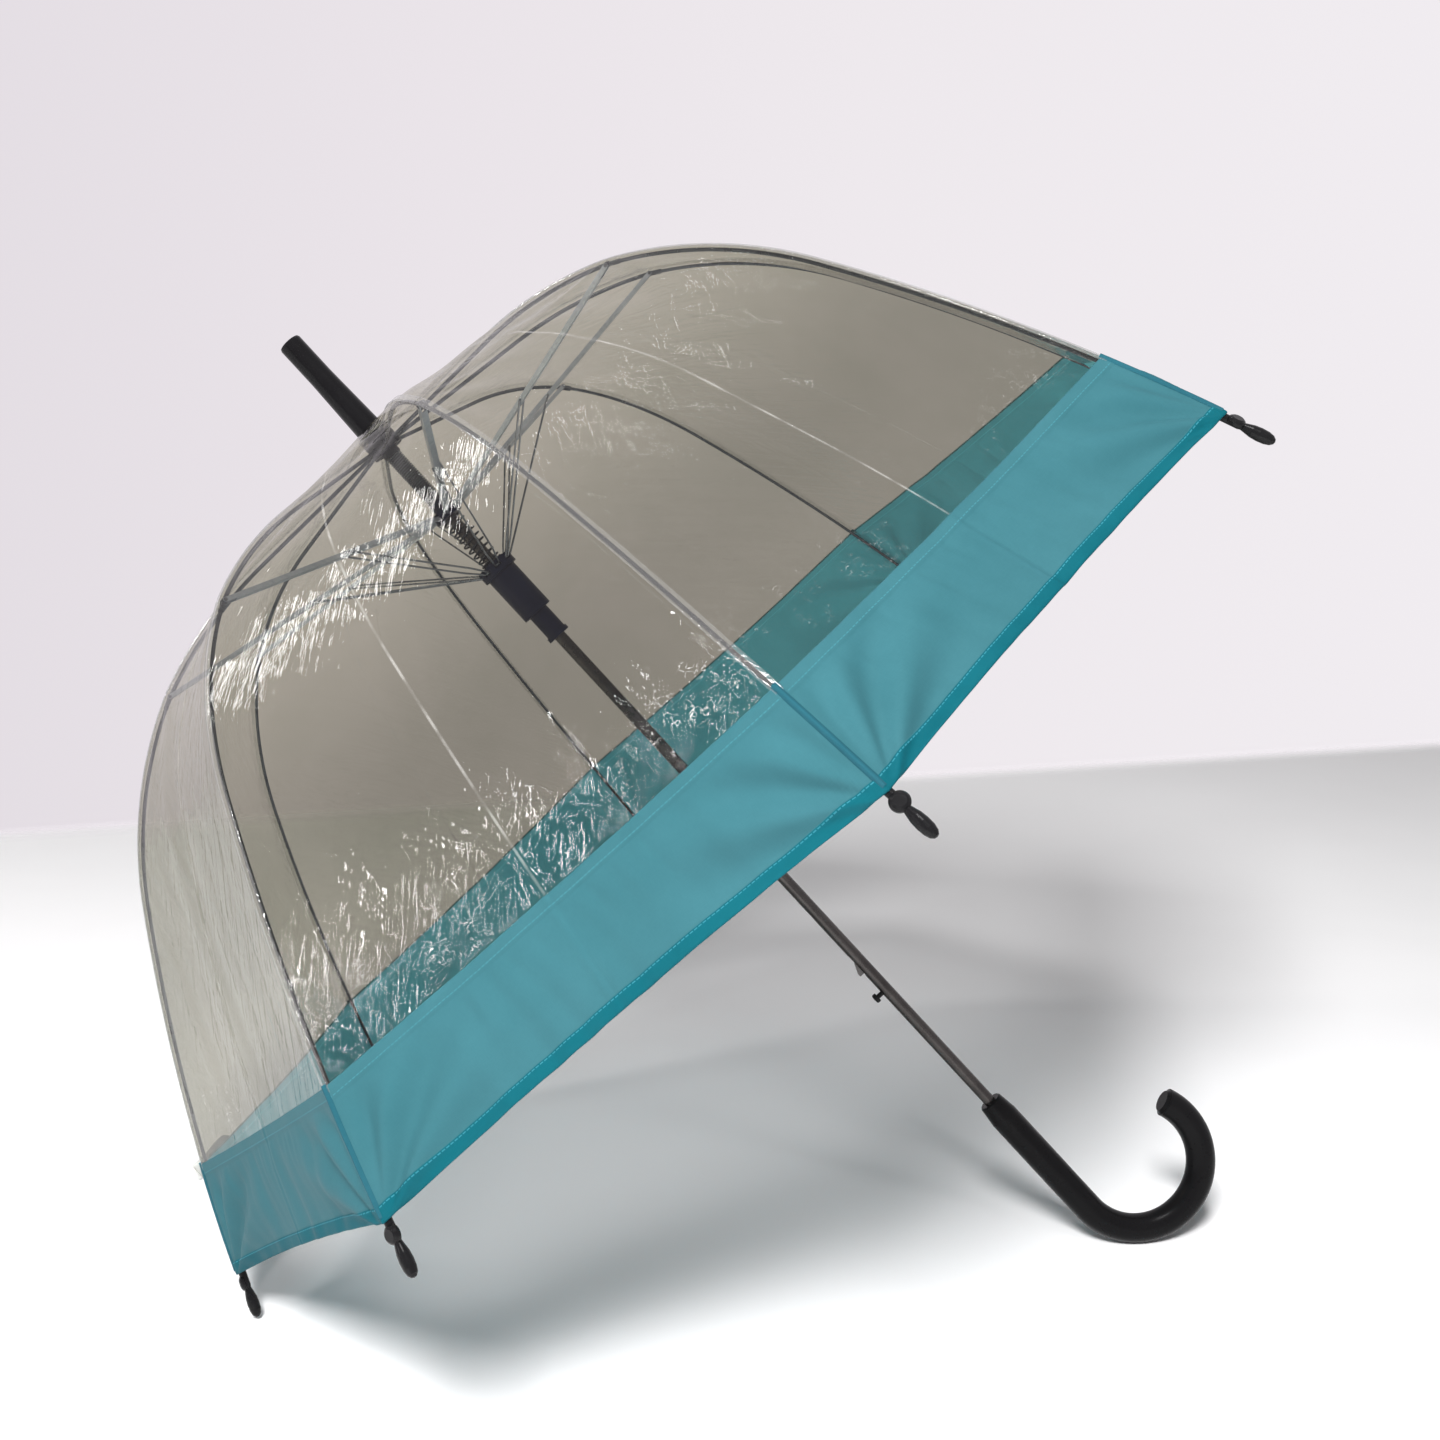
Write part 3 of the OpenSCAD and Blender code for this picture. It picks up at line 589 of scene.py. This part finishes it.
inner_rows = crown_rows() + [(s, FILM_OFF) for s in frange(34, LEN_IN, 3.2)]
outer_rows = [(s, FILM_OFF) for s in frange(LEN_IN, BAND_S - 96, 3.1)] + [(s, FILM_OFF) for s in frange(BAND_S - 96, BAND_S + 0.8, 2.1)][1:]
band_rows = (
    [(BAND_S - 0.3, 3.1), (BAND_S - 0.4, 3.35), (BAND_S + 0.3, 3.5)]
    + [(s, 3.52) for s in frange(BAND_S + 2, BAND_S + 6.2, 2.1)]
    + [(BAND_S + 7.0, 3.5), (BAND_S + 7.3, 3.32)]
    + [(s, 3.3) for s in frange(BAND_S + 9, LEN_ALL - 9.6, 2.2)]
    + [(LEN_ALL - 9.0, 3.35), (LEN_ALL - 8.7, 3.8)]
    + [(s, 3.9) for s in frange(LEN_ALL - 7.4, LEN_ALL - 2.2, 1.7)]
    + [(LEN_ALL - 1.3, 3.75), (LEN_ALL - 0.8, 3.2), (LEN_ALL - 0.9, 2.6), (LEN_ALL - 1.6, 2.25)]
    + [(s, 2.2) for s in frange(LEN_ALL - 3, LEN_ALL - 8.4, 1.8)]
)
hem_row = next(i for i, (s, off) in enumerate(band_rows) if off == 3.8)


def band_index(s, i):
    return 1 if i < 7 else 2 if i >= hem_row - 1 else 0


for k in range(1, 9):
    for side in (-1, 1):
        tag = f"{k}_{'a' if side < 0 else 'b'}"
        n, at = squash_axis(k, side, LEN_IN, LEN_ALL)
        ni, ati = squash_axis(k, side, 20, LEN_IN)

        o, v = skin_half(f"canopy_crown_{tag}", k, side, inner_rows, 32, [film])
        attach(o, f"rib_{k}")
        canopy_parts.append((o, ni, ati))

        o, v = skin_half(f"canopy_skirt_{tag}", k, side, outer_rows, 54, [film])
        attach(o, f"outer_{k}")
        canopy_parts.append((o, n, at))

        o, v = skin_half(f"band_{tag}", k, side, band_rows, 68, [band_cloth, seam_cloth, hem_cloth], band_index)
        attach(o, f"outer_{k}")
        band_parts.append((o, n, at))

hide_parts("canopy_film")
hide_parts("border_band")
for o, n, at in canopy_parts + band_parts:
    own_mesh(o)

# ---------------------------------------------------------------- welds over the ribs, and the pockets that hold the rods in the band


def ribbon(name, k, s_list, profile, mats, wave=0.0):
    """A narrow strip over rib k; profile is (sideways, height over the rib's centre line) points, in mm."""
    a = az(k)
    radial, tang = Vector((cos(a), sin(a), 0)), Vector((-sin(a), cos(a), 0))
    verts, cloth = [], []
    for s in s_list:
        r, z, sl = line_at(s)
        out = radial * sin(radians(sl)) + Vector((0, 0, cos(radians(sl))))
        side = wave * nz(s / 23, k * 3.3, 5)
        for y, h in profile:
            lift = h + wave * 0.25 * nz(s / 9, y, k * 1.7)
            # the strip follows the two gores, which fall away from the rib
            fall = abs(y) * tan(HALF) * sin(radians(sl))
            verts.append((radial * r + Vector((0, 0, z)) + out * (lift - fall) + tang * (y + side)) * MM)
            cloth.append((y * MM, s * MM, k * 0.61))
    faces = grid_faces(len(s_list), len(profile), flip=True)
    return make(name, verts, faces, mats, True, None, cloth)


weld_profile = [(-2.7, 3.05), (-2.4, 3.4), (-2.0, 3.75), (-1.6, 3.45), (-1.1, 3.25), (0, 3.3), (1.1, 3.25), (1.6, 3.45), (2.0, 3.75), (2.4, 3.4), (2.7, 3.05)]
pocket_profile = [(-1.9, 3.35), (-1.5, 3.8), (-0.9, 4.25), (-0.3, 4.45), (0.3, 4.45), (0.9, 4.25), (1.5, 3.8), (1.9, 3.35)]
for k in range(1, 9):
    o = ribbon(f"weld_inner_{k}", k, frange(40, LEN_IN - 0.5, 3.0), weld_profile, [weld_film], 0.25)
    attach(o, f"rib_{k}")
    o = ribbon(f"weld_outer_{k}", k, frange(LEN_IN + 0.5, BAND_S + 3, 3.0), weld_profile, [weld_film], 0.25)
    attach(o, f"outer_{k}")
    o = ribbon(f"rib_pocket_{k}", k, frange(BAND_S - 1.5, LEN_ALL - 3.5, 2.0), pocket_profile, [pocket_rod_shade_cloth], 0.12)
    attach(o, f"outer_{k}")

# ---------------------------------------------------------------- springs


def coil(name, r, wire_r, z0, z1, turns, mats, per=26, sides=8):
    """A compression spring with a closed loop at each end."""
    n = int(turns * per)
    pts = []
    for i in range(n + 1):
        t = i / n * turns
        end = 0.8
        # the end loops lie nearly flat, and the rise is shared by the turns between them
        flat = wire_r * 2.05
        if t < end:
            z = z0 + flat * t / end * 0.9
        elif t > turns - end:
            z = z1 - flat * (turns - t) / end * 0.9
        else:
            z = z0 + 0.9 * flat + (z1 - z0 - 1.8 * flat) * (t - end) / (turns - 2 * end)
        pts.append((r * cos(2 * pi * t), r * sin(2 * pi * t), z))
    return tube(name, pts, wire_r, mats, sides)


lo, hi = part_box("opening_spring")
o = coil("opening_spring_coil", 6.85, 0.68, lo.z / MM + 0.65, hi.z / MM - 0.65, 9.5, [spring_black])
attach(o, "slide_notch")
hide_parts("opening_spring")
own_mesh(o)

lo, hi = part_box("buffer_spring")
o = coil("buffer_spring_coil", 5.0, 0.5, lo.z / MM + 0.5, hi.z / MM - 0.5, 25, [spring_grey])
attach(o, "shaft")
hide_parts("buffer_spring")

# ---------------------------------------------------------------- closing strap and its snap
strap_az = az(4) - radians(2.4) - radians(20)
r0, z0, sl0 = line_at(BAND_S + 4)
off = 3.5
base = Vector(((r0 + off * sin(radians(sl0))) * cos(az(4) - radians(2.4)), (r0 + off * sin(radians(sl0))) * sin(az(4) - radians(2.4)), z0 + off * cos(radians(sl0))))
ex, ey, ez = Vector((cos(strap_az), sin(strap_az), 0)), Vector((-sin(strap_az), cos(strap_az), 0)), Vector((0, 0, 1))


def strap_path():
    """Along the band, then out in a small open loop that carries the snap."""
    pts = [(0.5, -44 + 34 * i / 10) for i in range(11)]
    for i in range(1, 13):
        t = i / 12
        pts.append((0.5 + 8.0 * ss(0, 1, t), -10 + 6.5 * t + 0.6 * sin(pi * t)))
    for i in range(1, 13):
        t = i / 12
        pts.append((8.5 - 7.9 * ss(0, 1, t), -3.5 + 3.4 * t))
    return pts


def strap_mesh():
    pts = strap_path()
    n, rows, verts, faces = len(pts), [], [], []
    # one closed section for each point of the path: a flat band with rounded edges
    for i, (x, y) in enumerate(pts):
        tx, ty = (pts[min(i + 1, n - 1)][0] - pts[max(i - 1, 0)][0], pts[min(i + 1, n - 1)][1] - pts[max(i - 1, 0)][1])
        L = hypot(tx, ty)
        nx, ny = -ty / L, tx / L
        end = 1 - 0.45 * max(0.0, 1 - i / 1.6) ** 2
        h = 5.9 * end
        for q in range(16):
            a = 2 * pi * q / 16
            cx, cz = cos(a), sin(a)
            th = 0.38 * cx * (1 if abs(cz) < 0.9 else 0.7)
            zz = h * (abs(cz) ** 0.35) * (1 if cz >= 0 else -1)
            zz += 0.25 * sin(y / 6.0)
            verts.append((base + ex * (x - nx * th) + ey * (y - ny * th) + ez * zz) * MM)
    for i in range(n - 1):
        for q in range(16):
            a, b = i * 16 + q, i * 16 + (q + 1) % 16
            faces.append((a, b, b + 16, a + 16))
    faces.append(tuple(range(16))[::-1])
    faces.append(tuple(range((n - 1) * 16, n * 16)))
    return verts, faces


v, f = strap_mesh()
strap = make("closing_strap", v, f, [strap_film])
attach(strap, "outer_4")
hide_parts("closure_strap")
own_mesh(strap)


def lathe(name, profile, origin, axis, mats, sides=40):
    """A turned part; profile is (radius, height) points along axis from origin, in mm."""
    axis = Vector(axis).normalized()
    u = axis.orthogonal().normalized()
    w = axis.cross(u)
    verts, faces = [], []
    rings = [p for p in profile if p[0] > 1e-6]
    for r, h in rings:
        for j in range(sides):
            a = 2 * pi * j / sides
            verts.append((origin + axis * h + r * (cos(a) * u + sin(a) * w)) * MM)
    for i in range(len(rings) - 1):
        for j in range(sides):
            a, b = i * sides + j, i * sides + (j + 1) % sides
            faces.append((a, b, b + sides, a + sides))
    faces.append(tuple(range(sides))[::-1])
    faces.append(tuple(range((len(rings) - 1) * sides, len(rings) * sides)))
    return make(name, verts, faces, mats)


snap = lathe(
    "strap_snap_button",
    [(3.6, 0), (4.3, 0.15), (4.6, 0.55), (4.6, 0.95), (4.35, 1.3), (3.7, 1.5), (3.2, 1.45), (3.0, 1.2), (2.3, 1.15), (2.05, 1.45), (1.9, 1.85), (1.5, 2.0), (0.5, 2.0)],
    base + ex * 8.95 + ey * -3.0, ex, [snap_white])
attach(snap, "outer_4")
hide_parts("strap_snap")
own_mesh(snap)

# ---------------------------------------------------------------- camera, at the photo's place
right, up, ahead = Vector((0.731922, -0.081336, -0.676516)), Vector((0.679571, 0.014683, 0.733462)), Vector((0.049724, 0.996579, -0.066026))
cam = bpy.data.cameras.new("camera")
cam_o = bpy.data.objects.new("camera", cam)
bpy.context.scene.collection.objects.link(cam_o)
cam.sensor_width, cam.lens = 36.0, 1902.6 * 36 / 1440
cam.shift_x, cam.shift_y = (720 - 693.50) / 1440, (747.30 - 720) / 1440
m = Matrix((right, up, -ahead)).transposed().to_4x4()
m.translation = Vector((-0.046899, -1.231859, 0.400381))
cam_o.matrix_world = m
cam.dof.use_dof = False
cam.clip_start, cam.clip_end = 0.05, 100
bpy.context.scene.camera = cam_o

# ---------------------------------------------------------------- floor, under two rib tips and the crook, and a pale world
N = Vector((0.64807, -0.191967, 0.73699)).normalized()
floor_h = -0.0865
e1 = (right - N * right.dot(N)).normalized()
e2 = N.cross(e1)
centre = N * floor_h


def floor_uv(p):
    return Vector(p).dot(e1), Vector(p).dot(e2)


# the far edge, where the photo's floor turns into its wall
ua, va = floor_uv((-0.633, 1.206, 0.754))
ub, vb = floor_uv((0.915, 1.500, -0.530))
verts, faces = [], []
us = frange(-4.5, 4.5, 0.25)
for u in us:
    edge = va + (vb - va) * (u - ua) / (ub - ua)
    for v_ in (-4.5, -2.5, -1.2, -0.5, 0.0, 0.4, 0.8, edge - 0.1, edge + 0.05):
        verts.append(centre + e1 * u + e2 * v_)
fm = Mat("studio_floor_paint", Roughness=0.7, Specular_IOR_Level=0.12)
fm.set(Base_Color=fm.ramp(fm.noise(fm.coords(), 3.0, 3), [(0.3, (0.92, 0.915, 0.925)), (0.7, (0.95, 0.945, 0.955))]))
edge_n = Vector((va - vb, ub - ua, 0)).normalized()
geo = fm.node("ShaderNodeNewGeometry")
dot = fm.node("ShaderNodeVectorMath", operation="DOT_PRODUCT")
axis3 = (e1 * edge_n.x + e2 * edge_n.y)
if (e1 * 0 + e2 * 1).dot(axis3) < 0:
    axis3 = -axis3
dot.inputs[1].default_value = tuple(axis3)
fm.link(geo.outputs["Position"], dot.inputs[0])
edge_at = Vector((-0.633, 1.206, 0.754)).dot(axis3)
fade = fm.span(dot.outputs["Value"], edge_at - 0.07, edge_at + 0.015)
clear = fm.node("ShaderNodeBsdfTransparent")
mixed = fm.node("ShaderNodeMixShader")
fm.link(fm.math("MAXIMUM", geo.outputs["Backfacing"], fade), mixed.inputs[0])
fm.link(fm.p.outputs[0], mixed.inputs[1])
fm.link(clear.outputs[0], mixed.inputs[2])
fm.link(mixed.outputs[0], fm.out.inputs[0])
ground = make("studio_floor", verts, grid_faces(len(us), 9), [fm.m], False)
ground.data.update()
if ground.data.polygons[0].normal.dot(N) < 0:
    ground.data.flip_normals()

world = bpy.data.worlds.new("studio")
bpy.context.scene.world = world
world.use_nodes = True
wt = world.node_tree
wt.nodes.clear()
w_out, w_bg = wt.nodes.new("ShaderNodeOutputWorld"), wt.nodes.new("ShaderNodeBackground")
w_co = wt.nodes.new("ShaderNodeTexCoord")


def w_dot(axis):
    n = wt.nodes.new("ShaderNodeVectorMath")
    n.operation = "DOT_PRODUCT"
    n.inputs[1].default_value = tuple(axis)
    wt.links.new(w_co.outputs["Generated"], n.inputs[0])
    return n.outputs["Value"]


def w_ramp(src, a, b, stops):
    mr, r = wt.nodes.new("ShaderNodeMapRange"), wt.nodes.new("ShaderNodeValToRGB")
    mr.inputs[1].default_value, mr.inputs[2].default_value = a, b
    wt.links.new(src, mr.inputs[0])
    while len(r.color_ramp.elements) < len(stops):
        r.color_ramp.elements.new(0.5)
    for el, (pos, col) in zip(r.color_ramp.elements, stops):
        el.position, el.color = pos, (*col, 1)
    wt.links.new(mr.outputs[0], r.inputs[0])
    return r.outputs[0]


def srgb(*c):
    return tuple(x / 255 / 12.92 if x <= 10 else ((x / 255 + 0.055) / 1.055) ** 2.4 for x in c)


side_col = w_ramp(w_dot(right), -0.42, 0.42, [(0.0, srgb(226, 220, 226)), (0.35, srgb(234, 228, 233)), (0.6, srgb(238, 233, 237)), (1.0, srgb(241, 237, 241))])
w_mix = wt.nodes.new("ShaderNodeMix")
w_mix.data_type = "RGBA"
low = wt.nodes.new("ShaderNodeMapRange")
low.inputs[1].default_value, low.inputs[2].default_value = -0.30, -0.55
wt.links.new(w_dot(N), low.inputs[0])
wt.links.new(low.outputs[0], w_mix.inputs[0])
wt.links.new(side_col, w_mix.inputs[6])
w_mix.inputs[7].default_value = (*srgb(250, 249, 251), 1)
wt.links.new(w_mix.outputs[2], w_bg.inputs["Color"])
w_bg.inputs["Strength"].default_value = 1.0
# the backdrop seen by eye is brighter than the fill light it gives, so that the floor keeps a shadow
w_fill, w_path, w_both = wt.nodes.new("ShaderNodeBackground"), wt.nodes.new("ShaderNodeLightPath"), wt.nodes.new("ShaderNodeMixShader")
w_fill.inputs["Color"].default_value = (1, 0.985, 0.99, 1)
w_fill.inputs["Strength"].default_value = 0.12
wt.links.new(w_path.outputs["Is Diffuse Ray"], w_both.inputs[0])
wt.links.new(w_bg.outputs[0], w_both.inputs[1])
wt.links.new(w_fill.outputs[0], w_both.inputs[2])
wt.links.new(w_both.outputs[0], w_out.inputs[0])

# ---------------------------------------------------------------- soft studio lamps
middle = Vector((0.02, -0.02, 0.36))


def lamp(name, direction, distance, size, power, colour=(1, 1, 1), along=None, aim=middle):
    """An area lamp; its longer side, size[1], lies along the direction given."""
    d = Vector(direction).normalized()
    li = bpy.data.lights.new(name, "AREA")
    li.shape, li.size, li.size_y = "RECTANGLE", size[0], size[1]
    li.energy, li.color = power, colour
    o = bpy.data.objects.new(name, li)
    bpy.context.scene.collection.objects.link(o)
    y = Vector(along or N)
    y = (y - d * y.dot(d)).normalized()
    m = Matrix((y.cross(d), y, d)).transposed().to_4x4()
    m.translation = aim + d * distance
    o.matrix_world = m
    return o


def img(x, y, toward):
    """A direction given as seen in the photo: right, up, and towards the camera."""
    return (right * x + up * y - ahead * toward).normalized()


lamp("lamp_key", img(0.0, 0.74, 0.67), 2.6, (0.36, 0.36), 23, (1, 0.995, 0.99))
front = lamp("lamp_front", img(-0.12, 0.46, 0.88), 2.6, (0.62, 0.62), 118, (1, 0.995, 0.99))
front.visible_glossy = False
lamp("lamp_left", img(-0.86, 0.48, 0.06), 2.4, (0.22, 0.5), 9, (1, 0.99, 0.97))
lamp("lamp_left_low", img(-0.76, 0.08, 0.63), 2.4, (0.06, 0.34), 4.5)
lamp("lamp_streak", img(0.0, 0.98, -0.10), 2.4, (0.014, 0.7), 0.9, along=img(0.6, 0, 0.6))

bpy.context.scene.view_settings.view_transform = "Standard"
bpy.context.scene.view_settings.look = "None"
